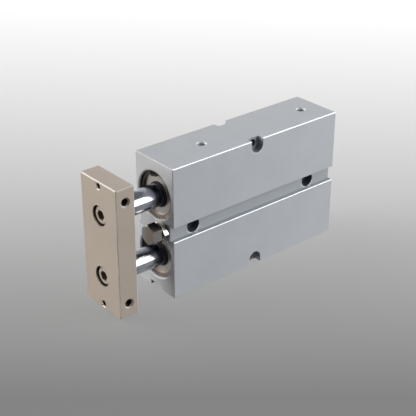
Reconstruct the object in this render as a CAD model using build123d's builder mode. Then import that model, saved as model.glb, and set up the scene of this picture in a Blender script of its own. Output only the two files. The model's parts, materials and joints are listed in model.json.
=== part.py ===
from build123d import *
import os

# A double rod pneumatic cylinder: two parallel pistons in one housing push a common end plate.
# +X is the way the rods extend, +Z points from the lower bore to the upper one, and the origin is
# the centre of the mounting holes that pass through the housing's side grooves. Millimetres.

os.makedirs("parts", exist_ok=True)

# Working sizes in millimetres, angles in degrees
stroke = 50.0
rest_extension = 13.2
bore_diameter = 25.0
rod_diameter = 12.0

# Fits, all radial or face to face
rod_guide_clearance = 0.03
lip_clearance = 0.05
piston_ring_clearance = 0.05
seat_clearance = 0.03
thread_clearance = 0.05
stop_clearance = 0.05

# Housing block
side_wall = 2.5
end_wall = 7.0
bore_web = 9.0
long_edge_chamfer = 0.35
end_edge_chamfer = 0.3
hole_mouth_angle = 90.0
front_recess = 2.8
rear_recess = 2.8
seat_step = 0.5
bore_mouth_chamfer = 0.6
side_groove_width = 8.0
side_groove_depth = 3.0
groove_lip_chamfer = 0.25
foot_channel_width = 9.2
foot_channel_depth = 2.2
front_hole_setback = 15.0
rear_hole_setback = 17.0
mounting_hole_diameter = 5.3
mounting_head_diameter = 8.0
mounting_head_depth = 7.5
edge_hole_inset = 3.1
edge_hole_diameter = 4.3
edge_notch_width = 8.0
edge_notch_depth = 4.0
front_port_lead = 2.8
rear_port_lag = 1.8
port_diameter = 4.2
port_mouth_diameter = 5.6
cross_passage_diameter = 2.6
plug_ball_diameter = 3.5
plug_seat_depth = 3.6

# Covers, guide bushes and seals
front_flange_length = 6.0
rear_flange_length = 3.0
cover_nose_gap = 2.0
front_nose_length = 4.0
rear_nose_length = 4.8
nut_pocket_gap = 1.0
nut_pocket_extra = 1.5
rod_seal_lip_length = 1.2
rod_seal_lip_inset = 0.4
rod_seal_length = 4.2
rod_seal_wall = 3.0
rod_seal_lip_wall = 1.2
rod_seal_channel_width = 1.4
rod_seal_channel_depth = 1.8
guide_bush_length = 15.0
guide_bush_wall = 1.5
guide_bush_land = 0.6
cover_bore_relief = 0.3
o_ring_section = 2.0
o_ring_squeeze = 0.04
o_ring_groove_slack = 0.2
rear_o_ring_land = 0.5

# Retaining rings
circlip_thickness = 1.2
circlip_groove_depth = 0.9
circlip_side_clearance = 0.05
circlip_width = 3.1
circlip_eccentricity = 0.25
circlip_gap = 0.5
circlip_ear_diameter = 3.8
circlip_ear_setback = 0.65
circlip_ear_hole_diameter = 1.4
circlip_ear_angle = 6.5
circlip_gap_direction = 104.0

# Pistons
front_margin = 1.5
rear_margin = 1.4
bumper_length = 2.0
bumper_wall = 3.5
piston_wall_gap = 0.15
piston_crown_chamfer = 0.8
spigot_diameter = 8.0
piston_seal_inset = 2.4
piston_seal_width = 3.4
piston_seal_depth = 2.8
piston_seal_edge = 0.6
piston_land = 1.8
piston_rear_land = 1.5
wear_ring_width = 2.4
wear_ring_depth = 1.4
wear_ring_gap = 0.8
magnet_holder_floor = 1.4
magnet_holder_wall = 1.2
magnet_holder_gap = 0.3
magnet_length = 3.6
piston_nut_width = 13.0
piston_nut_height = 4.0
spigot_tail = 1.0

# End plate and its screws
plate_thickness = 11.0
plate_side_inset = 0.5
plate_end_inset = 1.0
plate_edge_chamfer = 0.5
rod_seat_depth = 2.0
rod_end_chamfer = 0.6
screw_head_diameter = 9.6
screw_head_length = 6.0
screw_head_inset = 1.0
screw_head_chamfer = 0.6
screw_head_gap = 0.7
screw_thread_diameter = 6.0
screw_length = 16.0
screw_hole_gap = 0.3
screw_hole_extra = 2.0
screw_socket_width = 5.0
screw_socket_depth = 3.0
screw_tip_chamfer = 0.6
plate_face_hole_inset = 2.5
plate_face_hole_diameter = 3.3
plate_face_hole_mouth = 4.3
plate_side_hole_inset = 7.5
plate_side_hole_diameter = 4.2
plate_side_hole_mouth = 5.4

# Stroke adjusting bolt
bolt_offset = 6.0
bolt_thread_diameter = 6.0
bolt_head_width = 10.0
bolt_head_height = 5.0
bolt_head_turn = 38.0
bolt_length = 12.0
bolt_tip_chamfer = 0.6
bolt_hole_extra = 0.7
bolt_hole_mouth = 6.8
lock_nut_width = 10.0
lock_nut_height = 3.2
lock_nut_gap = 1.05
hexagon_corner_taper = 0.5
hexagon_seat_taper = 0.12
hexagon_taper_slope = 2.0

# Radii and places that follow from the sizes above
bore_radius = bore_diameter / 2
rod_radius = rod_diameter / 2
seat_radius = bore_radius + seat_step
bore_spacing = bore_diameter + bore_web
housing_width = bore_diameter + 2 * side_wall
housing_height = bore_spacing + bore_diameter + 2 * end_wall
plate_width = housing_width - 2 * plate_side_inset
plate_height = housing_height - 2 * plate_end_inset
bore_heights = {"upper": bore_spacing / 2, "lower": -bore_spacing / 2}
front_cover_length = (
    front_nose_length + guide_bush_length + guide_bush_land + rod_seal_length + rod_seal_lip_length
)
o_ring_slot = o_ring_section + o_ring_groove_slack
rear_cover_length = rear_flange_length + o_ring_slot + 2 * rear_o_ring_land + rear_nose_length
piston_length = (
    piston_seal_inset + piston_seal_width + piston_land + wear_ring_width + piston_rear_land
)
magnet_holder_length = magnet_length + magnet_holder_floor
piston_stack = bumper_length + piston_length + magnet_holder_length
housing_length = (
    front_recess + front_cover_length + front_margin + piston_stack + stroke
    + rear_margin + rear_cover_length + rear_recess
)
mounting_hole_spacing = housing_length - front_hole_setback - rear_hole_setback

# Stations along X, from the front face of the housing to its rear face
front_x = mounting_hole_spacing / 2 + front_hole_setback
rear_x = front_x - housing_length
front_cover_x = front_x - front_recess
front_shoulder_x = front_cover_x - front_flange_length
front_inner_x = front_cover_x - front_cover_length
rear_cover_x = rear_x + rear_recess
rear_shoulder_x = rear_cover_x + rear_flange_length
rear_inner_x = rear_cover_x + rear_cover_length
stack_rear_x = rear_inner_x + rear_margin + rest_extension
piston_rear_x = stack_rear_x + magnet_holder_length
piston_front_x = piston_rear_x + piston_length
bolt_head_x = front_x + lock_nut_height + lock_nut_gap
bolt_face_x = bolt_head_x + bolt_head_height
plate_back_x = bolt_face_x + stop_clearance + rest_extension
plate_front_x = plate_back_x + plate_thickness


def facing_front(x):
    """Sketch plane across the cylinder at station x: its first axis is Y and its second is Z."""
    return Plane(origin=(x, 0, 0), x_dir=(0, 1, 0), z_dir=(1, 0, 0))


def facing_side(y):
    """Sketch plane on a wide side: its normal points away from the middle of the cylinder."""
    return Plane(origin=(0, y, 0), x_dir=(1, 0, 0), z_dir=(0, 1 if y > 0 else -1, 0))


def along_bore(height, offset=0.0):
    """Sketch plane through a turned part's axis: its first axis is X and its second the radius."""
    return Plane(origin=(0, offset, height), x_dir=(1, 0, 0), z_dir=(0, -1, 0))


def turning_axis(height, offset=0.0):
    """Line along X that a turned part is revolved about."""
    return Axis((0, offset, height), (1, 0, 0))


def ring(low_x, high_x, inner_radius, outer_radius, mode=Mode.ADD):
    """Half section of a ring between two stations, drawn on an along_bore plane."""
    with Locations(((low_x + high_x) / 2, (inner_radius + outer_radius) / 2)):
        Rectangle(high_x - low_x, outer_radius - inner_radius, mode=mode)


def corner_radius(width):
    """Distance from a hexagon's centre to its corners, from its width across the flats."""
    return width / 3 ** 0.5


def hexagon(width, rotation=0.0):
    """Hexagon of a given width across its flats, with a corner on the first axis at no rotation."""
    RegularPolygon(width / 2, 6, major_radius=False, rotation=rotation)


def tapered_outline(width, height_z, offset, low_x, high_x, low_taper, high_taper):
    """Half outline that turns down the corners of a hexagonal head or nut at its ends."""
    corner = corner_radius(width)
    with BuildSketch(along_bore(height_z, offset), mode=Mode.PRIVATE) as outline:
        with BuildLine():
            Polyline(
                (low_x, 0),
                (low_x, corner - hexagon_taper_slope * low_taper),
                (low_x + low_taper, corner),
                (high_x - high_taper, corner),
                (high_x, corner - hexagon_taper_slope * high_taper),
                (high_x, 0),
                close=True,
            )
        make_face()
    return outline.sketch


# Housing: an extruded block with two bores, switch grooves, ports and mounting holes
circlip_slot = circlip_thickness + 2 * circlip_side_clearance
circlip_groove_radius = seat_radius + circlip_groove_depth
edge_hole_height = housing_height / 2 - edge_hole_inset
port_stations = (front_inner_x - front_port_lead, rear_inner_x - rear_port_lag)

with BuildPart() as housing:
    with BuildSketch(facing_front(rear_x)):
        Rectangle(housing_width, housing_height)
        chamfer(vertices(), long_edge_chamfer)
        with GridLocations(housing_width, 0, 2, 1):
            Rectangle(2 * side_groove_depth, side_groove_width, mode=Mode.SUBTRACT)
        with Locations((0, -housing_height / 2)):
            Rectangle(foot_channel_width, 2 * foot_channel_depth, mode=Mode.SUBTRACT)
        for side in (0, -1):
            lips = vertices().group_by(Axis.X)[side].sort_by(Axis.Y)[1:3]
            chamfer(lips, groove_lip_chamfer)
    extrude(amount=housing_length)
    for end in (0, -1):
        chamfer(faces().sort_by(Axis.X)[end].outer_wire().edges(), end_edge_chamfer)

    for bore_height in bore_heights.values():
        with BuildSketch(along_bore(bore_height)):
            ring(rear_x, front_x, 0, bore_radius)
            ring(front_shoulder_x, front_x, 0, seat_radius)
            ring(rear_x, rear_shoulder_x, 0, seat_radius)
            for slot_x in (front_cover_x, rear_cover_x - circlip_slot):
                ring(slot_x, slot_x + circlip_slot, 0, circlip_groove_radius)
        revolve(axis=turning_axis(bore_height), mode=Mode.SUBTRACT)
    for end in (0, -1):
        chamfer(faces().sort_by(Axis.X)[end].inner_wires().edges(), bore_mouth_chamfer)

    for side_y in (housing_width / 2, -housing_width / 2):
        with Locations(facing_side(side_y)):
            with GridLocations(mounting_hole_spacing, 0, 2, 1):
                CounterBoreHole(
                    radius=mounting_hole_diameter / 2,
                    counter_bore_radius=mounting_head_diameter / 2,
                    counter_bore_depth=mounting_head_depth,
                )
        with BuildSketch(facing_side(side_y)):
            with GridLocations(0, 2 * edge_hole_height, 1, 2):
                Circle(edge_notch_width / 2)
            with GridLocations(0, 2 * (edge_hole_height + edge_hole_inset), 1, 2):
                Rectangle(edge_notch_width, 2 * edge_hole_inset)
        extrude(amount=-edge_notch_depth, mode=Mode.SUBTRACT)
    with Locations(facing_side(housing_width / 2)):
        with GridLocations(0, 2 * edge_hole_height, 1, 2):
            Hole(edge_hole_diameter / 2)

    with Locations(Plane.XY.offset(housing_height / 2)):
        with Locations(*[(x, 0) for x in port_stations]):
            CounterSinkHole(
                radius=port_diameter / 2,
                counter_sink_radius=port_mouth_diameter / 2,
                depth=(housing_height - bore_spacing) / 2,
                counter_sink_angle=hole_mouth_angle,
            )
    with Locations(Plane(origin=(0, 0, -housing_height / 2), z_dir=(0, 0, -1), x_dir=(1, 0, 0))):
        with Locations(*[(x, 0) for x in port_stations]):
            Hole(cross_passage_diameter / 2, depth=(housing_height + bore_spacing) / 2)
            Hole(plug_ball_diameter / 2 + seat_clearance, depth=foot_channel_depth + plug_seat_depth)

    with Locations(facing_front(front_x)):
        with Locations((bolt_offset, 0)):
            CounterSinkHole(
                radius=bolt_thread_diameter / 2 + thread_clearance,
                counter_sink_radius=bolt_hole_mouth / 2,
                depth=bolt_length - lock_nut_height + bolt_hole_extra,
                counter_sink_angle=hole_mouth_angle,
            )
housing.part.label = "housing"
export_step(housing.part, "parts/housing.step")

# Steel balls pressed into the foot channel, which close the drillings that join the two bores
plug_seat_z = -housing_height / 2 + foot_channel_depth + plug_seat_depth
for end, port_x in zip(("front", "rear"), port_stations):
    with BuildPart() as plug_ball:
        with Locations((port_x, 0, plug_seat_z - plug_ball_diameter / 2)):
            Sphere(plug_ball_diameter / 2)
    plug_ball.part.label = f"{end}_plug_ball"
    export_step(plug_ball.part, f"parts/{plug_ball.part.label}.step")

# Each bore has the same covers, guide, seals and retaining rings
cover_radius = bore_radius - seat_clearance
flange_radius = seat_radius - seat_clearance
bush_radius = rod_radius + guide_bush_wall
nose_radius = bore_radius - cover_nose_gap
nut_pocket_radius = corner_radius(piston_nut_width) + nut_pocket_gap
nut_pocket_depth = piston_nut_height + spigot_tail + nut_pocket_extra
rod_seal_radius = rod_radius + rod_seal_wall
rod_seal_mouth_radius = rod_radius + rod_seal_lip_wall
bush_rear_x = front_inner_x + front_nose_length
bush_front_x = bush_rear_x + guide_bush_length
seal_front_x = front_cover_x - rod_seal_lip_length
seal_rear_x = seal_front_x - rod_seal_length
o_ring_radius = cover_radius - o_ring_section / 2
o_ring_floor = cover_radius - o_ring_section - o_ring_squeeze
front_o_ring_x = (front_shoulder_x + bush_rear_x) / 2
rear_o_ring_x = rear_shoulder_x + rear_o_ring_land + o_ring_slot / 2

for level, bore_height in bore_heights.items():
    with BuildPart() as front_cover:
        with BuildSketch(along_bore(bore_height)):
            ring(front_inner_x, front_cover_x, rod_radius + cover_bore_relief, cover_radius)
            ring(front_shoulder_x, front_cover_x, rod_radius + cover_bore_relief, flange_radius)
            ring(
                front_inner_x, front_inner_x + front_nose_length,
                nose_radius, bore_radius, Mode.SUBTRACT,
            )
            ring(bush_rear_x, bush_front_x, 0, bush_radius + seat_clearance, Mode.SUBTRACT)
            ring(seal_front_x, front_cover_x, 0, rod_seal_mouth_radius, Mode.SUBTRACT)
            ring(seal_rear_x, seal_front_x, 0, rod_seal_radius, Mode.SUBTRACT)
            ring(
                front_o_ring_x - o_ring_slot / 2, front_o_ring_x + o_ring_slot / 2,
                o_ring_floor, bore_radius, Mode.SUBTRACT,
            )
        revolve(axis=turning_axis(bore_height))
    front_cover.part.label = f"front_cover_{level}"
    export_step(front_cover.part, f"parts/{front_cover.part.label}.step")

    with BuildPart() as guide_bush:
        with BuildSketch(along_bore(bore_height)):
            ring(bush_rear_x, bush_front_x, rod_radius + rod_guide_clearance, bush_radius)
        revolve(axis=turning_axis(bore_height))
    guide_bush.part.label = f"guide_bush_{level}"
    export_step(guide_bush.part, f"parts/{guide_bush.part.label}.step")

    with BuildPart() as rod_seal:
        with BuildSketch(along_bore(bore_height)):
            lip_radius = rod_radius + lip_clearance
            body_radius = rod_seal_radius - seat_clearance
            ring(seal_rear_x, seal_front_x, lip_radius, body_radius)
            ring(
                seal_front_x, front_cover_x - rod_seal_lip_inset,
                lip_radius, rod_seal_mouth_radius - seat_clearance,
            )
            channel_radius = (lip_radius + body_radius) / 2
            ring(
                seal_rear_x, seal_rear_x + rod_seal_channel_depth,
                channel_radius - rod_seal_channel_width / 2,
                channel_radius + rod_seal_channel_width / 2, Mode.SUBTRACT,
            )
        revolve(axis=turning_axis(bore_height))
    rod_seal.part.label = f"rod_seal_{level}"
    export_step(rod_seal.part, f"parts/{rod_seal.part.label}.step")

    with BuildPart() as rear_cover:
        with BuildSketch(along_bore(bore_height)):
            ring(rear_cover_x, rear_inner_x, 0, cover_radius)
            ring(rear_cover_x, rear_shoulder_x, 0, flange_radius)
            ring(
                rear_inner_x - rear_nose_length, rear_inner_x,
                nose_radius, bore_radius, Mode.SUBTRACT,
            )
            ring(
                rear_inner_x - nut_pocket_depth, rear_inner_x,
                0, nut_pocket_radius, Mode.SUBTRACT,
            )
            ring(
                rear_o_ring_x - o_ring_slot / 2, rear_o_ring_x + o_ring_slot / 2,
                o_ring_floor, bore_radius, Mode.SUBTRACT,
            )
        revolve(axis=turning_axis(bore_height))
    rear_cover.part.label = f"rear_cover_{level}"
    export_step(rear_cover.part, f"parts/{rear_cover.part.label}.step")

    for end, seal_x in (("front", front_o_ring_x), ("rear", rear_o_ring_x)):
        with BuildPart() as o_ring:
            with BuildSketch(along_bore(bore_height)):
                with Locations((seal_x, o_ring_radius)):
                    Circle(o_ring_section / 2)
            revolve(axis=turning_axis(bore_height))
        o_ring.part.label = f"{end}_o_ring_{level}"
        export_step(o_ring.part, f"parts/{o_ring.part.label}.step")

    circlip_radius = circlip_groove_radius - seat_clearance
    ear_circle_radius = circlip_radius - circlip_width + circlip_ear_setback
    for end, inner_face_x in (("front", front_cover_x), ("rear", rear_cover_x - circlip_thickness)):
        with BuildPart() as circlip:
            with BuildSketch(facing_front(inner_face_x)):
                with Locations(Location((0, bore_height, 0), (0, 0, circlip_gap_direction))):
                    Circle(circlip_radius)
                    with Locations((circlip_eccentricity, 0)):
                        Circle(circlip_radius - circlip_width + circlip_eccentricity, mode=Mode.SUBTRACT)
                    for ear_angle in (-circlip_ear_angle, circlip_ear_angle):
                        with PolarLocations(ear_circle_radius, 1, start_angle=ear_angle):
                            Circle(circlip_ear_diameter / 2)
                    for ear_angle in (-circlip_ear_angle, circlip_ear_angle):
                        with PolarLocations(ear_circle_radius, 1, start_angle=ear_angle):
                            Circle(circlip_ear_hole_diameter / 2, mode=Mode.SUBTRACT)
                    with Locations((ear_circle_radius, 0)):
                        Rectangle(2 * circlip_ear_diameter, circlip_gap, mode=Mode.SUBTRACT)
            extrude(amount=circlip_thickness)
        circlip.part.label = f"{end}_circlip_{level}"
        export_step(circlip.part, f"parts/{circlip.part.label}.step")

# Pistons: crown with its seal and wear ring, a magnet in its holder, a bumper and the nut
piston_radius = bore_radius - piston_wall_gap
ring_radius = bore_radius - piston_ring_clearance
spigot_radius = spigot_diameter / 2
holder_radius = bore_radius - magnet_holder_gap
magnet_radius = holder_radius - magnet_holder_wall - seat_clearance
seal_slot_front_x = piston_front_x - piston_seal_inset
seal_slot_rear_x = seal_slot_front_x - piston_seal_width
wear_slot_front_x = seal_slot_rear_x - piston_land
wear_slot_rear_x = wear_slot_front_x - wear_ring_width
nut_rear_x = stack_rear_x - piston_nut_height

for level, bore_height in bore_heights.items():
    with BuildPart() as piston:
        with BuildSketch(along_bore(bore_height)):
            ring(piston_rear_x, piston_front_x, spigot_radius + seat_clearance, piston_radius)
            chamfer(vertices().group_by(Axis.Y)[-1], piston_crown_chamfer)
            ring(
                seal_slot_rear_x, seal_slot_front_x,
                piston_radius - piston_seal_depth, bore_radius, Mode.SUBTRACT,
            )
            ring(
                wear_slot_rear_x, wear_slot_front_x,
                piston_radius - wear_ring_depth, bore_radius, Mode.SUBTRACT,
            )
        revolve(axis=turning_axis(bore_height))
    piston.part.label = f"piston_{level}"
    export_step(piston.part, f"parts/{piston.part.label}.step")

    with BuildPart() as piston_seal:
        with BuildSketch(along_bore(bore_height)):
            ring(
                seal_slot_rear_x, seal_slot_front_x,
                piston_radius - piston_seal_depth + seat_clearance, ring_radius,
            )
            chamfer(vertices().group_by(Axis.Y)[-1], piston_seal_edge)
        revolve(axis=turning_axis(bore_height))
    piston_seal.part.label = f"piston_seal_{level}"
    export_step(piston_seal.part, f"parts/{piston_seal.part.label}.step")

    with BuildPart() as wear_ring:
        with BuildSketch(along_bore(bore_height)):
            ring(
                wear_slot_rear_x, wear_slot_front_x,
                piston_radius - wear_ring_depth + seat_clearance, ring_radius,
            )
        revolve(axis=turning_axis(bore_height))
        with BuildSketch(facing_front(wear_slot_rear_x)):
            with Locations((0, bore_height + bore_radius)):
                Rectangle(wear_ring_gap, bore_radius)
        extrude(amount=wear_ring_width, mode=Mode.SUBTRACT)
    wear_ring.part.label = f"wear_ring_{level}"
    export_step(wear_ring.part, f"parts/{wear_ring.part.label}.step")

    with BuildPart() as magnet_holder:
        with BuildSketch(along_bore(bore_height)):
            ring(stack_rear_x, piston_rear_x, spigot_radius + seat_clearance, holder_radius)
            ring(
                piston_rear_x - magnet_length, piston_rear_x,
                0, magnet_radius + seat_clearance, Mode.SUBTRACT,
            )
        revolve(axis=turning_axis(bore_height))
    magnet_holder.part.label = f"magnet_holder_{level}"
    export_step(magnet_holder.part, f"parts/{magnet_holder.part.label}.step")

    with BuildPart() as magnet:
        with BuildSketch(along_bore(bore_height)):
            ring(
                piston_rear_x - magnet_length, piston_rear_x,
                spigot_radius + seat_clearance, magnet_radius,
            )
        revolve(axis=turning_axis(bore_height))
    magnet.part.label = f"magnet_{level}"
    export_step(magnet.part, f"parts/{magnet.part.label}.step")

    with BuildPart() as piston_bumper:
        with BuildSketch(along_bore(bore_height)):
            ring(
                piston_front_x, piston_front_x + bumper_length,
                rod_radius + seat_clearance, rod_radius + bumper_wall,
            )
        revolve(axis=turning_axis(bore_height))
    piston_bumper.part.label = f"piston_bumper_{level}"
    export_step(piston_bumper.part, f"parts/{piston_bumper.part.label}.step")

    with BuildPart() as piston_nut:
        with BuildSketch(facing_front(nut_rear_x)):
            with Locations((0, bore_height)):
                hexagon(piston_nut_width)
        extrude(amount=piston_nut_height)
        nut_outline = tapered_outline(
            piston_nut_width, bore_height, 0, nut_rear_x, stack_rear_x,
            hexagon_corner_taper, hexagon_corner_taper,
        )
        revolve(nut_outline, axis=turning_axis(bore_height), mode=Mode.INTERSECT)
        with Locations(facing_front(stack_rear_x)):
            with Locations((0, bore_height)):
                Hole(spigot_radius + thread_clearance, depth=piston_nut_height)
    piston_nut.part.label = f"piston_nut_{level}"
    export_step(piston_nut.part, f"parts/{piston_nut.part.label}.step")

# Rods: plain shafts with a piston spigot behind and a tapped hole in front
rod_front_x = plate_back_x + rod_seat_depth
spigot_rear_x = nut_rear_x - spigot_tail
screw_seat_x = plate_front_x - screw_head_length - screw_head_inset
screw_tip_x = screw_seat_x - screw_length
rod_hole_depth = rod_front_x - screw_tip_x + screw_hole_extra

for level, bore_height in bore_heights.items():
    with BuildPart() as piston_rod:
        with BuildSketch(along_bore(bore_height)):
            ring(piston_front_x, rod_front_x, 0, rod_radius)
            chamfer(vertices().group_by(Axis.Y)[-1].sort_by(Axis.X)[-1], rod_end_chamfer)
            ring(spigot_rear_x, piston_front_x, 0, spigot_radius)
        revolve(axis=turning_axis(bore_height))
        with Locations(facing_front(rod_front_x)):
            with Locations((0, bore_height)):
                Hole(screw_thread_diameter / 2 + thread_clearance, depth=rod_hole_depth)
    piston_rod.part.label = f"piston_rod_{level}"
    export_step(piston_rod.part, f"parts/{piston_rod.part.label}.step")

    with BuildPart() as rod_screw:
        with BuildSketch(along_bore(bore_height)):
            ring(screw_seat_x, screw_seat_x + screw_head_length, 0, screw_head_diameter / 2)
            chamfer(vertices().group_by(Axis.Y)[-1].sort_by(Axis.X)[-1], screw_head_chamfer)
        revolve(axis=turning_axis(bore_height))
        with BuildSketch(facing_front(screw_seat_x + screw_head_length)):
            with Locations((0, bore_height)):
                hexagon(screw_socket_width)
        extrude(amount=-screw_socket_depth, mode=Mode.SUBTRACT)
        with BuildSketch(along_bore(bore_height)):
            ring(screw_tip_x, screw_seat_x, 0, screw_thread_diameter / 2)
            chamfer(vertices().group_by(Axis.Y)[-1].sort_by(Axis.X)[0], screw_tip_chamfer)
        revolve(axis=turning_axis(bore_height))
    rod_screw.part.label = f"rod_screw_{level}"
    export_step(rod_screw.part, f"parts/{rod_screw.part.label}.step")

# End plate that ties the two rods together
with BuildPart() as end_plate:
    with BuildSketch(facing_front(plate_back_x)):
        Rectangle(plate_width, plate_height)
    extrude(amount=plate_thickness)
    chamfer(edges(), plate_edge_chamfer)
    with Locations(facing_front(plate_front_x)):
        with GridLocations(0, bore_spacing, 1, 2):
            CounterBoreHole(
                radius=screw_thread_diameter / 2 + screw_hole_gap,
                counter_bore_radius=screw_head_diameter / 2 + screw_head_gap,
                counter_bore_depth=screw_head_length + screw_head_inset,
            )
        with GridLocations(0, plate_height - 2 * plate_face_hole_inset, 1, 2):
            CounterSinkHole(
                radius=plate_face_hole_diameter / 2,
                counter_sink_radius=plate_face_hole_mouth / 2,
                counter_sink_angle=hole_mouth_angle,
            )
    with BuildSketch(facing_front(plate_back_x)):
        with GridLocations(0, bore_spacing, 1, 2):
            Circle(rod_radius + seat_clearance)
    extrude(amount=rod_seat_depth, mode=Mode.SUBTRACT)
    plate_middle_x = (plate_back_x + plate_front_x) / 2
    for side_y in (plate_width / 2, -plate_width / 2):
        with Locations(facing_side(side_y)):
            with Locations((plate_middle_x, 0)):
                with GridLocations(0, plate_height - 2 * plate_side_hole_inset, 1, 2):
                    CounterSinkHole(
                        radius=plate_side_hole_diameter / 2,
                        counter_sink_radius=plate_side_hole_mouth / 2,
                        depth=plate_width / 2,
                        counter_sink_angle=hole_mouth_angle,
                    )
end_plate.part.label = "end_plate"
export_step(end_plate.part, "parts/end_plate.step")

# Adjusting bolt, which stops the end plate, and the thin nut that locks it
with BuildPart() as lock_nut:
    with BuildSketch(facing_front(front_x)):
        with Locations((bolt_offset, 0)):
            hexagon(lock_nut_width)
    extrude(amount=lock_nut_height)
    lock_nut_outline = tapered_outline(
        lock_nut_width, 0, bolt_offset, front_x, front_x + lock_nut_height,
        hexagon_corner_taper, hexagon_corner_taper,
    )
    revolve(lock_nut_outline, axis=turning_axis(0, bolt_offset), mode=Mode.INTERSECT)
    with Locations(facing_front(front_x + lock_nut_height)):
        with Locations((bolt_offset, 0)):
            Hole(bolt_thread_diameter / 2 + thread_clearance, depth=lock_nut_height)
lock_nut.part.label = "lock_nut"
export_step(lock_nut.part, "parts/lock_nut.step")

with BuildPart() as adjusting_bolt:
    with BuildSketch(facing_front(bolt_head_x)):
        with Locations((bolt_offset, 0)):
            hexagon(bolt_head_width, rotation=bolt_head_turn)
    extrude(amount=bolt_head_height)
    head_outline = tapered_outline(
        bolt_head_width, 0, bolt_offset, bolt_head_x, bolt_face_x,
        hexagon_seat_taper, hexagon_corner_taper,
    )
    revolve(head_outline, axis=turning_axis(0, bolt_offset), mode=Mode.INTERSECT)
    with BuildSketch(along_bore(0, bolt_offset)):
        ring(bolt_head_x - bolt_length, bolt_head_x, 0, bolt_thread_diameter / 2)
        chamfer(vertices().group_by(Axis.Y)[-1].sort_by(Axis.X)[0], bolt_tip_chamfer)
    revolve(axis=turning_axis(0, bolt_offset))
adjusting_bolt.part.label = "adjusting_bolt"
export_step(adjusting_bolt.part, "parts/adjusting_bolt.step")
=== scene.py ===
import json
import math

import bmesh
import bpy
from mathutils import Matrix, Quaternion, Vector


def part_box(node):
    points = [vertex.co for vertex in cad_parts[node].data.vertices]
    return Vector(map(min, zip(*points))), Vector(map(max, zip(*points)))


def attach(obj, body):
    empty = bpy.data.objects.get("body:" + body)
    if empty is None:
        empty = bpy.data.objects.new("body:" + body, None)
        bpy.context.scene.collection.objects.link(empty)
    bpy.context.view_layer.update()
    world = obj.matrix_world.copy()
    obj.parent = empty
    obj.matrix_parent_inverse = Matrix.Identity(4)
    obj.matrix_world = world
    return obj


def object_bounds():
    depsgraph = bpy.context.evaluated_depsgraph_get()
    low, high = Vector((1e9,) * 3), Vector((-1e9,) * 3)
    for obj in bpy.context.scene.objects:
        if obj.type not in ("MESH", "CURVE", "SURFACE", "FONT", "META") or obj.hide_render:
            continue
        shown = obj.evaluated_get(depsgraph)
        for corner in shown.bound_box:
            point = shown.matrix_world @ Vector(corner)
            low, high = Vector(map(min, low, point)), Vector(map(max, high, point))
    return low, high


# Looks of a double rod cylinder: the finish of every piece, the wiping lips of its seals and its
# threads, with a floor, lights and a camera.
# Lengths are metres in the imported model's own frame: +X is the way the rods extend, +Z is up.

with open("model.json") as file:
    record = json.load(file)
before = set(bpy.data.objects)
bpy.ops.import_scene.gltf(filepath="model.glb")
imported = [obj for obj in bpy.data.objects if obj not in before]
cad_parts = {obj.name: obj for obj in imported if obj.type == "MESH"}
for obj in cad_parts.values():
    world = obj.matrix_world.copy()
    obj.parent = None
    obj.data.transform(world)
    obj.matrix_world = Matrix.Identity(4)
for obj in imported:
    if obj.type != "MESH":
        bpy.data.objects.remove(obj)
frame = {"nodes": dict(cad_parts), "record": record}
nodes = frame["nodes"]
solid_low, solid_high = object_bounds()
plate_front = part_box("end_plate")[1][0]
screw_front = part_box("rod_screw_upper")[1][0]
mounts = {mount["name"]: mount for mount in frame["record"]["mounts"]}

MM = 0.001
AXIS_X = Vector((1.0, 0.0, 0.0))
AXIS_Y = Vector((0.0, 1.0, 0.0))
AXIS_Z = Vector((0.0, 0.0, 1.0))

# Camera
FOCAL_LENGTH_PIXELS = 1051.674
PICTURE_WIDTH_PIXELS = 416
SENSOR_WIDTH_MM = 36.0
CAMERA_AZIMUTH = math.radians(139.799)
CAMERA_ELEVATION = math.radians(27.742)
CAMERA_ROLL = math.radians(0.087)
CAMERA_DISTANCE = 0.552818
CAMERA_TARGET = Vector((0.020508, 0.0, -0.001878))
CLIP_NEAR = 0.01
CLIP_FAR = 50.0

# Floor: its shade grows evenly from the bottom of the picture, near the viewer, to the top
FLOOR_SIZE = 8.0
FLOOR_GAP = 0.0002
FLOOR_NEAR_VALUE = 0.50
FLOOR_FAR_VALUE = 1.0
FLOOR_GLOW = 1.31
FLOOR_GLOW_SHARE = 0.65
FLOOR_LIT = 0.74
FLOOR_STEPS = 12
DISPLAY_GAMMA = 2.2

# Room: pale walls under a dark ceiling, which runs from one sine of elevation to another
WALL_SHADE = (0.70, 0.72, 0.755)
CEILING_SHADE = (0.17, 0.178, 0.196)
WALL_TOP = 0.34
CEILING_EDGE = 0.58

# Window ahead of the end plate and gloom behind the viewer, each between two cosines from its direction
WINDOW_SHADE = (5.85, 5.6, 5.35)
WINDOW_REFLECTED = (2.4, 2.3, 2.2)
WINDOW_AZIMUTH = math.radians(50.0)
WINDOW_ELEVATION = 0.0
WINDOW_EDGE = 0.40
WINDOW_FULL = 0.95
GLOOM_SHADE = (0.012, 0.016, 0.024)
GLOOM_START = 0.32
GLOOM_FULL = 0.56

# Softbox beside the wide face that the camera sees
SOFTBOX_AZIMUTH = math.radians(222.0)
SOFTBOX_ELEVATION = math.radians(14.0)
SOFTBOX_DISTANCE = 1.2
SOFTBOX_SIZE = 1.3
SOFTBOX_POWER = 20.0

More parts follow.
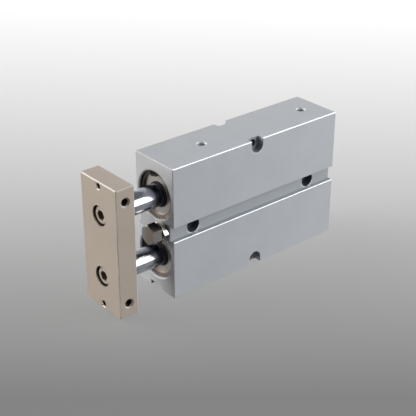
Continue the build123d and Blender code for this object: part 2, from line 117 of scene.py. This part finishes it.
# Sizes of the solids that the masks below follow
HALF_WIDTH = solid_high.y
TOP_LEVEL = solid_high.z
BORE_SPACING = 34.0 * MM
BORE_HEIGHTS = {"upper": BORE_SPACING / 2, "lower": -BORE_SPACING / 2}
MOUTH_CHAMFER = 0.7 * MM
END_BEVEL = 0.35 * MM
RECESS_RADIUS = 13.95 * MM
RECESS_FRONT = 54.9 * MM
GROOVE_HALF = 4.1 * MM
GROOVE_FLOOR = 12.0 * MM
FOOT_CHANNEL_HALF = 4.6 * MM
FOOT_CHANNEL_ROOF = 34.3 * MM
NOTCH_FLOOR = 11.0 * MM
NOTCH_RADIUS = 4.0 * MM
SCREW_SEAT_RADIUS = 4.0 * MM
PORT_RIM = 1.1 * MM
PLATE_SIDE_MOUTH = 13.6 * MM
SCREW_RECESS_RADIUS = 5.5 * MM
SCREW_RECESS_LIP = 0.25 * MM
SOCKET_RADIUS = 3.0 * MM
SOCKET_DEPTH = 0.3 * MM

# How masks end, and how strong they are
HOLE_MARGIN = 0.15 * MM
FACE_MARGIN = 0.02 * MM
MOUTH_FADE = 0.5 * MM
RIM_WIDTH = 0.45 * MM
RIM_DROP = 1.2 * MM
GROOVE_SHARE = 0.30
RECESS_SHARE = 0.85
FOOT_CHANNEL_SHARE = 0.75
SHADY_SIDE = Vector((0.0, -0.80, 0.60))
SHADY_START = -0.25
SHADY_FULL = 0.35
NOTCH_RING_RATE = 2 * math.pi / (1.3 * MM)
NOTCH_RING_LOW = -0.15
NOTCH_RING_HIGH = 0.80
BEVEL_SLANT = 0.4
BLOCK_LEAN = (1.0, 1.5, 1.0)
PLATE_LEAN = (2.0, 1.0, 2.0)
ROD_SHADE_REACH = 10.0 * MM
ROD_SHADE_START = 0.55
ROD_SHADE_END = 0.97
NOISE_LOW = 0.3
NOISE_HIGH = 0.7

# The darker and the lighter shade that a finish varies between
BLOCK_SHADES = ((0.535, 0.56, 0.59), (0.565, 0.59, 0.617))
PLATE_SHADES = ((0.64, 0.552, 0.467), (0.67, 0.582, 0.494))
ROD_SHADES = ((0.54, 0.57, 0.635), (0.58, 0.61, 0.675))
CIRCLIP_SHADES = ((0.34, 0.288, 0.258), (0.375, 0.322, 0.288))
PLATE_SCREW_SHADES = ((0.64, 0.58, 0.515), (0.67, 0.61, 0.54))

# Colours the masks put on: painted shade, painted highlights, and the colour of the block's long bevels
HOLE_PAINTED_SHADE = (0.14, 0.167, 0.193)
RIM_PAINTED_HIGHLIGHT = (0.76, 0.78, 0.80)
LONG_EDGE_SHADE = (0.52, 0.54, 0.565)
TOP_END_PAINTED_HIGHLIGHT = (0.62, 0.64, 0.66)
PLATE_HOLE_PAINTED_SHADE = (0.052, 0.041, 0.033)
PLATE_EDGE_PAINTED_HIGHLIGHT = (0.86, 0.79, 0.72)
SCREW_RECESS_PAINTED_SHADE = (0.074, 0.056, 0.044)
SOCKET_PAINTED_SHADE = (0.25, 0.20, 0.155)
ROD_PAINTED_SHADE = (0.12, 0.145, 0.21)
CIRCLIP_PAINTED_SHADE = (0.07, 0.065, 0.06)

# Pieces that are wound about an axis; the sections are millimetres, radius and place along X
WINDING_STEPS = 36
LIP_SECTION = ((6.09, 52.2), (6.72, 52.2), (6.72, 53.5), (6.5, 53.7), (6.15, 53.7))
CASE_SECTION = ((6.78, 52.28), (7.19, 52.28), (7.19, 52.6), (7.1, 52.7), (6.85, 52.7), (6.78, 52.6))
COARSE_PITCH = 0.8 * MM
FINE_PITCH = 0.7 * MM
SHORT_THREAD = 4.8 * MM
LONG_THREAD = 8.4 * MM
PORT_THREAD_START = 1.2 * MM
SIDE_THREAD_START = 0.7 * MM
FACE_THREAD_START = 1.1 * MM
THREAD_GRIP = 0.05 * MM
THREAD_DEPTH = 0.26
THREAD_HALF_FOOT = 0.42
THREAD_FADE = 12


def direction(azimuth, elevation):
    """Unit vector from the object towards a viewer at that azimuth and elevation."""
    return Vector((
        math.sin(azimuth) * math.cos(elevation),
        -math.cos(azimuth) * math.cos(elevation),
        math.sin(elevation),
    ))


def hole_pair(name, row):
    """A point on the axis of each of a mount's two holes, which lie apart along row."""
    mount = mounts[name]
    spacing = next(size for key, size in mount["dims"].items() if key.startswith("spacing"))
    return [Vector(mount["pos_m"]) + row * (spacing * MM / 2 * side) for side in (1, -1)]


def hole_radius(name):
    return mounts[name]["dims"]["hole_r_mm"] * MM


def ports():
    """Name of each port, the point of its axis that lies level with the origin, and its radius."""
    for name in ("front_port", "rear_port"):
        port = mounts[name]
        yield name, Vector((port["pos_m"][0], 0.0, 0.0)), port["dims"]["r_mm"] * MM


def housing_holes():
    """Point, axis, radius and the distance from the point to the mouth, of each hole that takes painted
    shade.
    """
    holes = [
        (point, AXIS_Y, SCREW_SEAT_RADIUS, GROOVE_FLOOR)
        for point in hole_pair("side_groove_holes", AXIS_X)
    ]
    holes += [
        (point, AXIS_Y, hole_radius("edge_holes"), NOTCH_FLOOR)
        for point in hole_pair("edge_holes", AXIS_Z)
    ]
    port_mouth = TOP_LEVEL - MOUTH_CHAMFER - PORT_RIM
    holes += [(point, AXIS_Z, radius, port_mouth) for _, point, radius in ports()]
    return holes


def plate_holes():
    """The same for the tapped holes of the end plate."""
    holes = [
        (point, AXIS_Y, hole_radius("plate_side_holes"), PLATE_SIDE_MOUTH)
        for point in hole_pair("plate_side_holes", AXIS_Z)
    ]
    for point in hole_pair("plate_face_holes", AXIS_Z):
        middle = Vector((0.0, 0.0, point.z))
        holes.append((middle, AXIS_X, hole_radius("plate_face_holes"), point.x - MOUTH_CHAMFER))
    return holes


def screw_recesses():
    """The same for the two recesses that the plate's screws sit in."""
    return [
        (Vector((0.0, 0.0, height)), AXIS_X, SCREW_RECESS_RADIUS, plate_front - SCREW_RECESS_LIP)
        for height in BORE_HEIGHTS.values()
    ]


class Graph:
    """A node tree, with short calls for the nodes that its users share."""

    def __init__(self, tree):
        self.tree = tree

    def node(self, kind, inputs=None, **settings):
        made = self.tree.nodes.new(kind)
        for key, value in settings.items():
            setattr(made, key, value)
        for key, value in (inputs or {}).items():
            self.feed(made.inputs[key], value)
        return made

    def feed(self, socket, value):
        if isinstance(value, bpy.types.NodeSocket):
            self.tree.links.new(value, socket)
        else:
            socket.default_value = value

    def math(self, operation, first, second=0.0):
        return self.node("ShaderNodeMath", {0: first, 1: second}, operation=operation).outputs[0]

    def vector(self, operation, first, second=(0.0, 0.0, 0.0)):
        made = self.node("ShaderNodeVectorMath", {0: first, 1: second}, operation=operation)
        return made.outputs["Value" if operation in ("DOT_PRODUCT", "LENGTH") else "Vector"]

    def parts(self, vector):
        """The X, Y and Z of a vector."""
        return self.node("ShaderNodeSeparateXYZ", {0: vector}).outputs

    def below(self, value, limit):
        return self.math("LESS_THAN", value, limit)

    def above(self, value, limit):
        return self.math("GREATER_THAN", value, limit)

    def both(self, mask, *others):
        """The part that is in all of these masks."""
        for other in others:
            mask = self.math("MULTIPLY", mask, other)
        return mask

    def either(self, mask, *others):
        """The part that is in one or more of these masks."""
        for other in others:
            mask = self.math("MAXIMUM", mask, other)
        return mask

    def span(self, value, low, high, from_low=0.0, from_high=1.0, curve="LINEAR"):
        """A value from from_low to from_high, spread over low to high."""
        return self.node("ShaderNodeMapRange", {
            "Value": value, "From Min": from_low, "From Max": from_high, "To Min": low, "To Max": high,
        }, interpolation_type=curve).outputs["Result"]

    def mix(self, kind, factor, first, second):
        mixed = self.node("ShaderNodeMix", data_type=kind)
        for name, value in (("Factor", factor), ("A", first), ("B", second)):
            self.feed(mixed.inputs[name], value)
        return mixed.outputs["Result"]

    def blend(self, factor, first, second):
        """A colour between two others, each a socket or its red, green and blue."""
        colours = [
            colour if isinstance(colour, bpy.types.NodeSocket) else (*colour, 1.0)
            for colour in (first, second)
        ]
        return self.mix("RGBA", factor, *colours)


class Shader(Graph):
    """A material's node tree, with the masks and patterns that the finishes share."""

    def __init__(self, name):
        self.material = bpy.data.materials.new(name)
        self.material.use_nodes = True
        super().__init__(self.material.node_tree)
        self.tree.nodes.clear()
        self.output = self.tree.nodes.new("ShaderNodeOutputMaterial")
        self.place = self.tree.nodes.new("ShaderNodeTexCoord").outputs["Object"]

    def stretched(self, *scale):
        """The place on the object, scaled along each axis."""
        return self.node("ShaderNodeMapping", {"Vector": self.place, "Scale": scale}).outputs["Vector"]

    def noise(self, vector, scale=1.0, detail=3.0, roughness=0.6):
        return self.node("ShaderNodeTexNoise", {
            "Vector": vector, "Scale": scale, "Detail": detail, "Roughness": roughness,
        }).outputs["Fac"]

    def spread(self, noise, low=0.0, high=1.0):
        """The values that a noise mostly takes, spread over low to high."""
        return self.span(noise, low, high, NOISE_LOW, NOISE_HIGH)

    def reach(self, point, axis):
        """Distance from a hole's axis, and the distance along it from its point."""
        from_point = self.vector("SUBTRACT", self.place, point)
        radius = self.vector("LENGTH", self.vector("CROSS_PRODUCT", from_point, axis))
        return radius, self.math("ABSOLUTE", self.vector("DOT_PRODUCT", from_point, axis))

    def shaded_hole_walls(self, holes):
        """Where painted shade goes: 1 on the walls of these holes, fading out near each mouth, 0
        elsewhere.
        """
        mask = 0.0
        for point, axis, wall_radius, mouth in holes:
            radius, depth = self.reach(point, axis)
            near = self.below(radius, wall_radius + HOLE_MARGIN)
            inside = self.span(depth, 1.0, 0.0, mouth - MOUTH_FADE, mouth)
            mask = self.either(mask, self.both(near, inside))
        return mask

    def notch_shade_rings(self):
        """Painted shade on the walls of the two notches, broken into rings about each notch's axis, from 0
        to 1.
        """
        mask = 0.0
        for point in hole_pair("edge_holes", AXIS_Z):
            radius, depth = self.reach(point, AXIS_Y)
            near = self.below(radius, NOTCH_RADIUS + HOLE_MARGIN)
            inside = self.below(depth, HALF_WIDTH - MOUTH_FADE)
            open_end = self.above(depth, NOTCH_FLOOR - HOLE_MARGIN)
            ring = self.math("SINE", self.math("MULTIPLY", radius, NOTCH_RING_RATE))
            shade = self.span(ring, NOTCH_RING_LOW, NOTCH_RING_HIGH, -1.0, 1.0)
            mask = self.either(mask, self.both(near, inside, open_end, shade))
        return mask

    def rim_highlights(self):
        """Where painted highlight goes: 1 on the ports' chamfers and on the lit lower rim of each notch
        and side hole, 0 elsewhere.
        """
        mask = 0.0
        height = self.parts(self.place)["Z"]
        holes = [(point, NOTCH_RADIUS, HALF_WIDTH) for point in hole_pair("edge_holes", AXIS_Z)]
        holes += [
            (point, SCREW_SEAT_RADIUS, GROOVE_FLOOR)
            for point in hole_pair("side_groove_holes", AXIS_X)
        ]
        for point, wall_radius, level in holes:
            radius, depth = self.reach(point, AXIS_Y)
            near = self.below(radius, wall_radius + RIM_WIDTH)
            flat = self.above(depth, level - FACE_MARGIN)
            lower = self.below(height, point.z - RIM_DROP)
            mask = self.either(mask, self.both(near, flat, lower))
        for _, point, port_radius in ports():
            radius, depth = self.reach(point, AXIS_Z)
            near = self.below(radius, port_radius + PORT_RIM)
            high = self.above(depth, TOP_LEVEL - MOUTH_CHAMFER)
            sunk = self.below(depth, TOP_LEVEL - FACE_MARGIN)
            mask = self.either(mask, self.both(near, high, sunk))
        return mask

    def around_bore(self):
        """The place seen from the nearer bore's axis."""
        place = self.parts(self.place)
        height = self.math("FLOORED_MODULO", place["Z"], BORE_SPACING)
        height = self.math("SUBTRACT", height, BORE_SPACING / 2)
        return self.node("ShaderNodeCombineXYZ", {"Y": place["Y"], "Z": height}).outputs["Vector"]

    def shady(self):
        """1 on the side of a front recess that the light doesn't reach, 0 on the other and at the rear."""
        outward = self.vector("NORMALIZE", self.around_bore())
        side = self.vector("DOT_PRODUCT", outward, SHADY_SIDE)
        at_front = self.above(self.parts(self.place)["X"], 0.0)
        return self.both(at_front, self.span(side, 0.0, 1.0, SHADY_START, SHADY_FULL))

    def sunk_bore(self, radius, front):
        """1 nearer than radius to a bore's axis and behind front, 0 elsewhere."""
        inside = self.below(self.vector("LENGTH", self.around_bore()), radius)
        return self.both(inside, self.below(self.parts(self.place)["X"], front))

    def groove_shade(self):
        """Painted shade in the two side grooves and in the channel in the foot, 0 elsewhere."""
        place = self.parts(self.place)
        out = self.math("ABSOLUTE", place["Y"])
        level = self.below(self.math("ABSOLUTE", place["Z"]), GROOVE_HALF)
        groove = self.both(level, self.below(out, HALF_WIDTH - MOUTH_FADE))
        low = self.below(place["Z"], -FOOT_CHANNEL_ROOF + FACE_MARGIN)
        sunk = self.above(place["Z"], -TOP_LEVEL + FACE_MARGIN)
        channel = self.both(self.below(out, FOOT_CHANNEL_HALF + FACE_MARGIN), low, sunk)
        return self.either(self.both(groove, GROOVE_SHARE), self.both(channel, FOOT_CHANNEL_SHARE))

    def bevels(self):
        """1 on the bevels between flat faces, 0 on the flat faces."""
        normal = self.parts(self.node("ShaderNodeNewGeometry").outputs["True Normal"])
        slant = 0.0
        for first, second in (("X", "Y"), ("Y", "Z"), ("Z", "X")):
            product = self.math("MULTIPLY", normal[first], normal[second])
            slant = self.math("MAXIMUM", slant, self.math("ABSOLUTE", product))
        return self.above(slant, BEVEL_SLANT)

    def block_edges(self):
        """Two masks: the bevels along the wide sides of the block, and those at the ends of its top, which
        take a painted highlight.
        """
        place = self.parts(self.place)
        bevels = self.bevels()
        outer = self.above(self.math("ABSOLUTE", place["Y"]), HALF_WIDTH - MOUTH_CHAMFER)
        high = self.above(place["Z"], TOP_LEVEL - END_BEVEL)
        far = self.above(self.math("ABSOLUTE", place["X"]), RECESS_FRONT)
        return self.both(bevels, outer), self.both(bevels, high, far)

    def softened(self, edges, lean):
        """Normal that leans on edges towards the axes with the larger share, as on a finer bevel."""
        normal = self.node("ShaderNodeNewGeometry").outputs["Normal"]
        leaning = self.vector("NORMALIZE", self.vector("MULTIPLY", normal, lean))
        return self.mix("VECTOR", edges, normal, leaning)

    def bump(self, height, strength, distance, **sockets):
        return self.node("ShaderNodeBump", {
            "Height": height, "Strength": strength, "Distance": distance, **sockets,
        }).outputs["Normal"]

    def show(self, surface):
        """Makes this the material's surface, and gives the material."""
        self.feed(self.output.inputs["Surface"], surface)
        return self.material

    def finish(self, colour, metallic, roughness, **sockets):
        """The material with these values; sockets holds others by their names, with _ for a space."""
        named = {name.replace("_", " "): value for name, value in sockets.items()}
        return self.show(self.node("ShaderNodeBsdfPrincipled", {
            "Base Color": colour, "Metallic": metallic, "Roughness": roughness, **named,
        }).outputs["BSDF"])


def anodised():
    """Clear anodised block: satin, with the drawn grain of an extrusion along X, painted shade in its
    hollows and painted highlights on some edges.
    """
    shader = Shader("anodised")
    grain = shader.noise(shader.stretched(40.0, 900.0, 900.0))
    blast = shader.noise(shader.place, 5200.0, detail=2.0)
    cloud = shader.noise(shader.place, 55.0, detail=2.0, roughness=0.5)
    # Painted shade on the side of each front recess that the light doesn't reach
    recesses = shader.both(shader.sunk_bore(RECESS_RADIUS, RECESS_FRONT), shader.shady(), RECESS_SHARE)
    # Painted shade in the holes, the ports, the notches, the grooves, the foot channel and the front
    # recesses
    dark = shader.either(shader.shaded_hole_walls(housing_holes()), shader.notch_shade_rings(), shader.groove_shade(), recesses)
    edges, top_end_highlights = shader.block_edges()
    colour = shader.blend(shader.spread(cloud), *BLOCK_SHADES)
    colour = shader.blend(dark, colour, HOLE_PAINTED_SHADE)
    # Painted highlight on the ports' chamfers and on the lower rim of the notches and side holes
    colour = shader.blend(shader.rim_highlights(), colour, RIM_PAINTED_HIGHLIGHT)
    # Painted highlight on the bevels at the ends of the top
    colour = shader.blend(top_end_highlights, colour, TOP_END_PAINTED_HIGHLIGHT)
    colour = shader.blend(edges, colour, LONG_EDGE_SHADE)
    metallic = shader.span(edges, 0.16, 0.85)
    roughness = shader.spread(grain, 0.36, 0.44)
    normal = shader.bump(blast, 0.10, 0.02 * MM, Normal=shader.softened(edges, BLOCK_LEAN))
    return shader.finish(colour, metallic, roughness, Normal=normal, Specular_IOR_Level=0.4)


def plate_nickel():
    """Warm nickel plating on a ground plate, with painted highlights on its bevels and painted shade in
    its holes and screw recesses.
    """
    shader = Shader("plate_finish")
    grain = shader.noise(shader.stretched(700.0, 60.0, 900.0))
    cloud = shader.noise(shader.place, 60.0, detail=2.0, roughness=0.5)
    holes = shader.shaded_hole_walls(plate_holes())
    recesses = shader.shaded_hole_walls(screw_recesses())
    solid = shader.math("SUBTRACT", 1.0, shader.either(holes, recesses))
    edges = shader.both(shader.bevels(), solid)
    colour = shader.blend(shader.spread(cloud), *PLATE_SHADES)
    # Painted shade in the tapped holes and the screw recesses, painted highlights on the bevels
    colour = shader.blend(holes, colour, PLATE_HOLE_PAINTED_SHADE)
    colour = shader.blend(recesses, colour, SCREW_RECESS_PAINTED_SHADE)
    colour = shader.blend(edges, colour, PLATE_EDGE_PAINTED_HIGHLIGHT)
    metallic = shader.span(edges, 0.50, 0.05)
    roughness = shader.spread(grain, 0.30, 0.40)
    normal = shader.bump(grain, 0.05, 0.01 * MM, Normal=shader.softened(edges, PLATE_LEAN))
    return shader.finish(colour, metallic, roughness, Normal=normal)


def chrome():
    """Ground and hard chromed rod with faint grinding rings, and painted shade where a face is near."""
    shader = Shader("chrome")
    rings = shader.noise(shader.stretched(5000.0, 20.0, 20.0), detail=2.0, roughness=0.5)
    # Painted shade on the rod where a face is near, from ambient occlusion
    openness = shader.node("ShaderNodeAmbientOcclusion", {"Distance": ROD_SHADE_REACH}).outputs["AO"]
    clear = shader.span(openness, 0.0, 1.0, ROD_SHADE_START, ROD_SHADE_END)
    colour = shader.blend(clear, ROD_PAINTED_SHADE, shader.blend(rings, *ROD_SHADES))
    return shader.finish(colour, 1.0, shader.spread(rings, 0.16, 0.21))


def circlip_steel():
    """Warm spring steel, with painted shade on the side of its bore that the light doesn't reach."""
    shader = Shader("circlip_steel")
    mottle = shader.noise(shader.place, 2200.0)
    warm = shader.blend(shader.spread(mottle), *CIRCLIP_SHADES)
    # Painted shade on the side of each front circlip that the light doesn't reach
    colour = shader.blend(shader.shady(), warm, CIRCLIP_PAINTED_SHADE)
    return shader.finish(colour, 1.0, shader.spread(mottle, 0.22, 0.34))


def plate_screw():
    """Warm plated screw head, with painted shade in its hexagon socket."""
    shader = Shader("plate_screw")
    mottle = shader.noise(shader.place, 2600.0)
    skin = shader.blend(shader.spread(mottle), *PLATE_SCREW_SHADES)
    # Painted shade in the hexagon socket
    socket = shader.sunk_bore(SOCKET_RADIUS, screw_front - SOCKET_DEPTH)
    colour = shader.blend(socket, skin, SOCKET_PAINTED_SHADE)
    return shader.finish(colour, 0.5, shader.spread(mottle, 0.26, 0.32))


def turned_metal(name, dark, light, least_rough, most_rough):
    """Turned metal: fine rings about each bore axis, which differ from ring to ring."""
    shader = Shader(name)
    rings = shader.noise(shader.stretched(2500.0, 300.0, 300.0))
    colour = shader.blend(shader.spread(rings), dark, light)
    return shader.finish(colour, 1.0, shader.spread(rings, least_rough, most_rough))


def plain_metal(name, dark, light, least_rough, most_rough):
    """Plated or bare metal with an even mottle."""
    shader = Shader(name)
    mottle = shader.noise(shader.place, 800.0)
    colour = shader.blend(shader.spread(mottle), dark, light)
    return shader.finish(colour, 1.0, shader.spread(mottle, least_rough, most_rough))


def rubber(name, dark, light, least_rough, most_rough):
    """Moulded rubber or urethane with a faint mottle."""
    shader = Shader(name)
    mottle = shader.noise(shader.place, 900.0)
    colour = shader.blend(mottle, dark, light)
    roughness = shader.spread(mottle, least_rough, most_rough)
    return shader.finish(colour, 0.0, roughness, Normal=shader.bump(mottle, 0.1, 0.05 * MM))


def plastic(name, dark, light, least_rough, most_rough):
    """Moulded plastic with a broader mottle."""
    shader = Shader(name)
    mottle = shader.noise(shader.place, 600.0, detail=2.0, roughness=0.5)
    colour = shader.blend(mottle, dark, light)
    return shader.finish(colour, 0.0, shader.spread(mottle, least_rough, most_rough))


def make_finishes():
    """The finish of each material slot."""
    made = {
        "housing_anodised": anodised(),
        "plate_nickel": plate_nickel(),
        "rod_chrome": chrome(),
        "spring_steel": circlip_steel(),
    }
    simple = {
        "cover_alloy": (turned_metal, (0.55, 0.525, 0.495), (0.61, 0.585, 0.555), 0.34, 0.44),
        "bush_bronze": (plain_metal, (0.45, 0.30, 0.16), (0.55, 0.38, 0.21), 0.35, 0.5),
        "seal_rubber": (rubber, (0.012, 0.012, 0.013), (0.022, 0.022, 0.024), 0.45, 0.6),
        "plated_fastener": (plain_metal, (0.41, 0.40, 0.38), (0.47, 0.46, 0.435), 0.14, 0.22),
        "ball_steel": (plain_metal, (0.55, 0.55, 0.55), (0.62, 0.62, 0.62), 0.08, 0.14),
        "piston_alloy": (turned_metal, (0.58, 0.58, 0.58), (0.68, 0.68, 0.68), 0.25, 0.4),
        "guide_plastic": (plastic, (0.62, 0.60, 0.52), (0.72, 0.70, 0.62), 0.35, 0.5),
        "magnet_ferrite": (plain_metal, (0.06, 0.06, 0.065), (0.10, 0.10, 0.11), 0.5, 0.65),
        "bumper_urethane": (rubber, (0.40, 0.18, 0.06), (0.50, 0.25, 0.09), 0.35, 0.5),
    }
    for slot, (maker, dark, light, least_rough, most_rough) in simple.items():
        made[slot] = maker(slot, dark, light, least_rough, most_rough)
    return made


def dress_nodes():
    """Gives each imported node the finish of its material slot, and the plate's screws their own."""
    screw_finish = plate_screw()
    for subpart in frame["record"]["subparts"]:
        node = nodes[subpart["node"]]
        finish = finishes[subpart["material_slot"]]
        node.data.materials.clear()
        node.data.materials.append(screw_finish if subpart["node"].startswith("rod_screw") else finish)


def wind(name, origin, axis, sections, closed, slot, body):
    """Solid made of sections of (radius, height) points, each one step further round an axis."""
    facing = axis.to_track_quat("Z", "Y")
    mesh = bmesh.new()
    outlines = []
    for step, section in enumerate(sections):
        angle = 2 * math.pi * step / WINDING_STEPS
        outlines.append([
            mesh.verts.new(origin + facing @ Vector((
                math.cos(angle) * radius, math.sin(angle) * radius, height,
            )))
            for radius, height in section
        ])
    followers = outlines[1:] + outlines[:1] if closed else outlines[1:]
    for first, second in zip(outlines, followers):
        for side in range(len(first)):
            after = (side + 1) % len(first)
            mesh.faces.new((first[side], first[after], second[after], second[side]))
    if not closed:
        mesh.faces.new(outlines[0])
        mesh.faces.new(outlines[-1])
    bmesh.ops.recalc_face_normals(mesh, faces=mesh.faces)
    data = bpy.data.meshes.new(name)
    mesh.to_mesh(data)
    mesh.free()
    piece = bpy.data.objects.new(name, data)
    bpy.context.scene.collection.objects.link(piece)
    data.materials.append(finishes[slot])
    data.shade_smooth()
    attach(piece, body)


def seal_rings():
    """Wiping lip of each rod seal, which stands out of its cover, and the lip's metal case."""
    for name, points, slot in (("lip", LIP_SECTION, "seal_rubber"), ("case", CASE_SECTION, "cover_alloy")):
        section = [(radius * MM, place * MM) for radius, place in points]
        for level, height in BORE_HEIGHTS.items():
            origin = Vector((0.0, 0.0, height))
            wind(f"seal_{name}_{level}", origin, AXIS_X, [section] * WINDING_STEPS, True, slot, "cylinder")


def thread(name, mouth, inward, radius, pitch, length, slot, body):
    """Thread ridge on the wall of a tapped hole, from near its mouth inwards."""
    steps = round(length / pitch * WINDING_STEPS)
    sections = []
    for step in range(steps + 1):
        fade = min(1.0, (step + 1) / THREAD_FADE, (steps - step + 1) / THREAD_FADE)
        height = pitch * step / WINDING_STEPS
        sections.append([
            (radius + THREAD_GRIP, height - THREAD_HALF_FOOT * pitch),
            (radius - THREAD_DEPTH * pitch * fade, height),
            (radius + THREAD_GRIP, height + THREAD_HALF_FOOT * pitch),
        ])
    wind(name, mouth, inward, sections, False, slot, body)


def cut_threads():
    """Threads of the ports and of the end plate's holes."""
    for name, point, radius in ports():
        mouth = point + AXIS_Z * (TOP_LEVEL - PORT_THREAD_START)
        thread(f"{name}_thread", mouth, -AXIS_Z, radius, COARSE_PITCH, SHORT_THREAD,
               "housing_anodised", "cylinder")
    radius = hole_radius("plate_side_holes")
    for level, point in zip(BORE_HEIGHTS, hole_pair("plate_side_holes", AXIS_Z)):
        for side, outward in (("near", AXIS_Y), ("far", -AXIS_Y)):
            mouth = Vector((point.x, 0.0, point.z)) + outward * (PLATE_SIDE_MOUTH - SIDE_THREAD_START)
            thread(f"plate_{side}_{level}_thread", mouth, -outward, radius, COARSE_PITCH, SHORT_THREAD,
                   "plate_nickel", "carriage")
    radius = hole_radius("plate_face_holes")
    for level, point in zip(BORE_HEIGHTS, hole_pair("plate_face_holes", AXIS_Z)):
        mouth = Vector((plate_front - FACE_THREAD_START, 0.0, point.z))
        thread(f"plate_face_{level}_thread", mouth, -AXIS_X, radius, FINE_PITCH, LONG_THREAD,
               "plate_nickel", "carriage")


def make_camera():
    """Camera at the photograph's viewing angle."""
    data = bpy.data.cameras.new("camera")
    data.sensor_width = SENSOR_WIDTH_MM
    data.lens = SENSOR_WIDTH_MM * FOCAL_LENGTH_PIXELS / PICTURE_WIDTH_PIXELS
    data.clip_start = CLIP_NEAR
    data.clip_end = CLIP_FAR
    camera = bpy.data.objects.new("camera", data)
    back = direction(CAMERA_AZIMUTH, CAMERA_ELEVATION)
    camera.location = CAMERA_TARGET + back * CAMERA_DISTANCE
    camera.rotation_mode = "QUATERNION"
    camera.rotation_quaternion = Quaternion(back, CAMERA_ROLL) @ (-back).to_track_quat("-Z", "Y")
    bpy.context.scene.collection.objects.link(camera)
    bpy.context.scene.camera = camera


def floor_distance(rise):
    """How far beyond the origin the floor lies that shows at that part of the picture's height."""
    tilt = math.atan((0.5 - rise) * PICTURE_WIDTH_PIXELS / FOCAL_LENGTH_PIXELS)
    camera_height = CAMERA_TARGET.z + CAMERA_DISTANCE * math.sin(CAMERA_ELEVATION) - solid_low.z
    camera_setback = CAMERA_DISTANCE * math.cos(CAMERA_ELEVATION)
    return camera_height / math.tan(CAMERA_ELEVATION + tilt) - camera_setback


def floor_sweep():
    """The floor's material: its shade grows away from the viewer, and it partly glows by itself."""
    shader = Shader("floor")
    away = Vector((-math.sin(CAMERA_AZIMUTH), math.cos(CAMERA_AZIMUTH), 0.0))
    distance = shader.vector("DOT_PRODUCT", shader.place, away)
    near, far = floor_distance(0.0), floor_distance(1.0)
    ramp = shader.node("ShaderNodeValToRGB", {"Fac": shader.span(distance, 0.0, 1.0, near, far)})
    elements = ramp.color_ramp.elements
    for step in range(1, FLOOR_STEPS):
        elements.new((floor_distance(step / FLOOR_STEPS) - near) / (far - near))
    for step, element in enumerate(elements):
        value = FLOOR_NEAR_VALUE + (FLOOR_FAR_VALUE - FLOOR_NEAR_VALUE) * step / FLOOR_STEPS
        grey = value ** DISPLAY_GAMMA
        element.color = (grey, grey, grey, 1.0)
    shade = ramp.outputs["Color"]
    dimmed = shader.vector("MULTIPLY", shade, (FLOOR_LIT, FLOOR_LIT, FLOOR_LIT))
    lit = shader.node("ShaderNodeBsdfDiffuse", {"Color": dimmed}).outputs["BSDF"]
    glow = shader.node("ShaderNodeEmission", {"Color": shade, "Strength": FLOOR_GLOW}).outputs["Emission"]
    path = shader.node("ShaderNodeLightPath").outputs
    seen = shader.either(path["Is Camera Ray"], path["Is Glossy Ray"], path["Is Transmission Ray"])
    share = shader.both(seen, FLOOR_GLOW_SHARE)
    mixed = shader.node("ShaderNodeMixShader", {0: share, 1: lit, 2: glow})
    return shader.show(mixed.outputs["Shader"])


def make_floor():
    """Plain pale floor that darkens evenly towards the viewer, as a studio sweep does."""
    half = FLOOR_SIZE / 2
    level = solid_low.z - FLOOR_GAP
    mesh = bpy.data.meshes.new("floor")
    corners = [(-half, -half, level), (half, -half, level), (half, half, level), (-half, half, level)]
    mesh.from_pydata(corners, [], [(0, 1, 2, 3)])
    floor = bpy.data.objects.new("floor", mesh)
    bpy.context.scene.collection.objects.link(floor)
    floor.data.materials.append(floor_sweep())


def make_softbox():
    """Square lamp that faces the object."""
    data = bpy.data.lights.new("side_softbox", "AREA")
    data.shape = "SQUARE"
    data.size = SOFTBOX_SIZE
    data.energy = SOFTBOX_POWER
    lamp = bpy.data.objects.new("side_softbox", data)
    towards = direction(SOFTBOX_AZIMUTH, SOFTBOX_ELEVATION)
    lamp.location = towards * SOFTBOX_DISTANCE
    lamp.rotation_mode = "QUATERNION"
    lamp.rotation_quaternion = (-towards).to_track_quat("-Z", "Y")
    bpy.context.scene.collection.objects.link(lamp)


def make_world():
    """Pale studio walls below a dark ceiling, with a window and an unlit room behind the viewer."""
    world = bpy.data.worlds.new("studio")
    world.use_nodes = True
    sky = Graph(world.node_tree)
    place = sky.node("ShaderNodeTexCoord").outputs["Generated"]

    def layer(axis, start, full, under, over):
        """Colours from under to over as a direction turns towards axis."""
        turn = sky.vector("DOT_PRODUCT", place, axis)
        return sky.blend(sky.span(turn, 0.0, 1.0, start, full, "SMOOTHSTEP"), under, over)

    mirrored = sky.node("ShaderNodeLightPath").outputs["Is Glossy Ray"]
    pane = sky.blend(mirrored, WINDOW_SHADE, WINDOW_REFLECTED)
    window = direction(WINDOW_AZIMUTH, WINDOW_ELEVATION)
    behind = direction(CAMERA_AZIMUTH, CAMERA_ELEVATION)
    room = layer(AXIS_Z, WALL_TOP, CEILING_EDGE, WALL_SHADE, CEILING_SHADE)
    room = layer(window, WINDOW_EDGE, WINDOW_FULL, room, pane)
    room = layer(behind, GLOOM_START, GLOOM_FULL, room, GLOOM_SHADE)
    sky.feed(sky.tree.nodes["Background"].inputs["Color"], room)
    bpy.context.scene.world = world


finishes = make_finishes()
dress_nodes()
seal_rings()
cut_threads()
make_camera()
make_floor()
make_world()
make_softbox()

view = bpy.context.scene.view_settings
view.view_transform = "Standard"
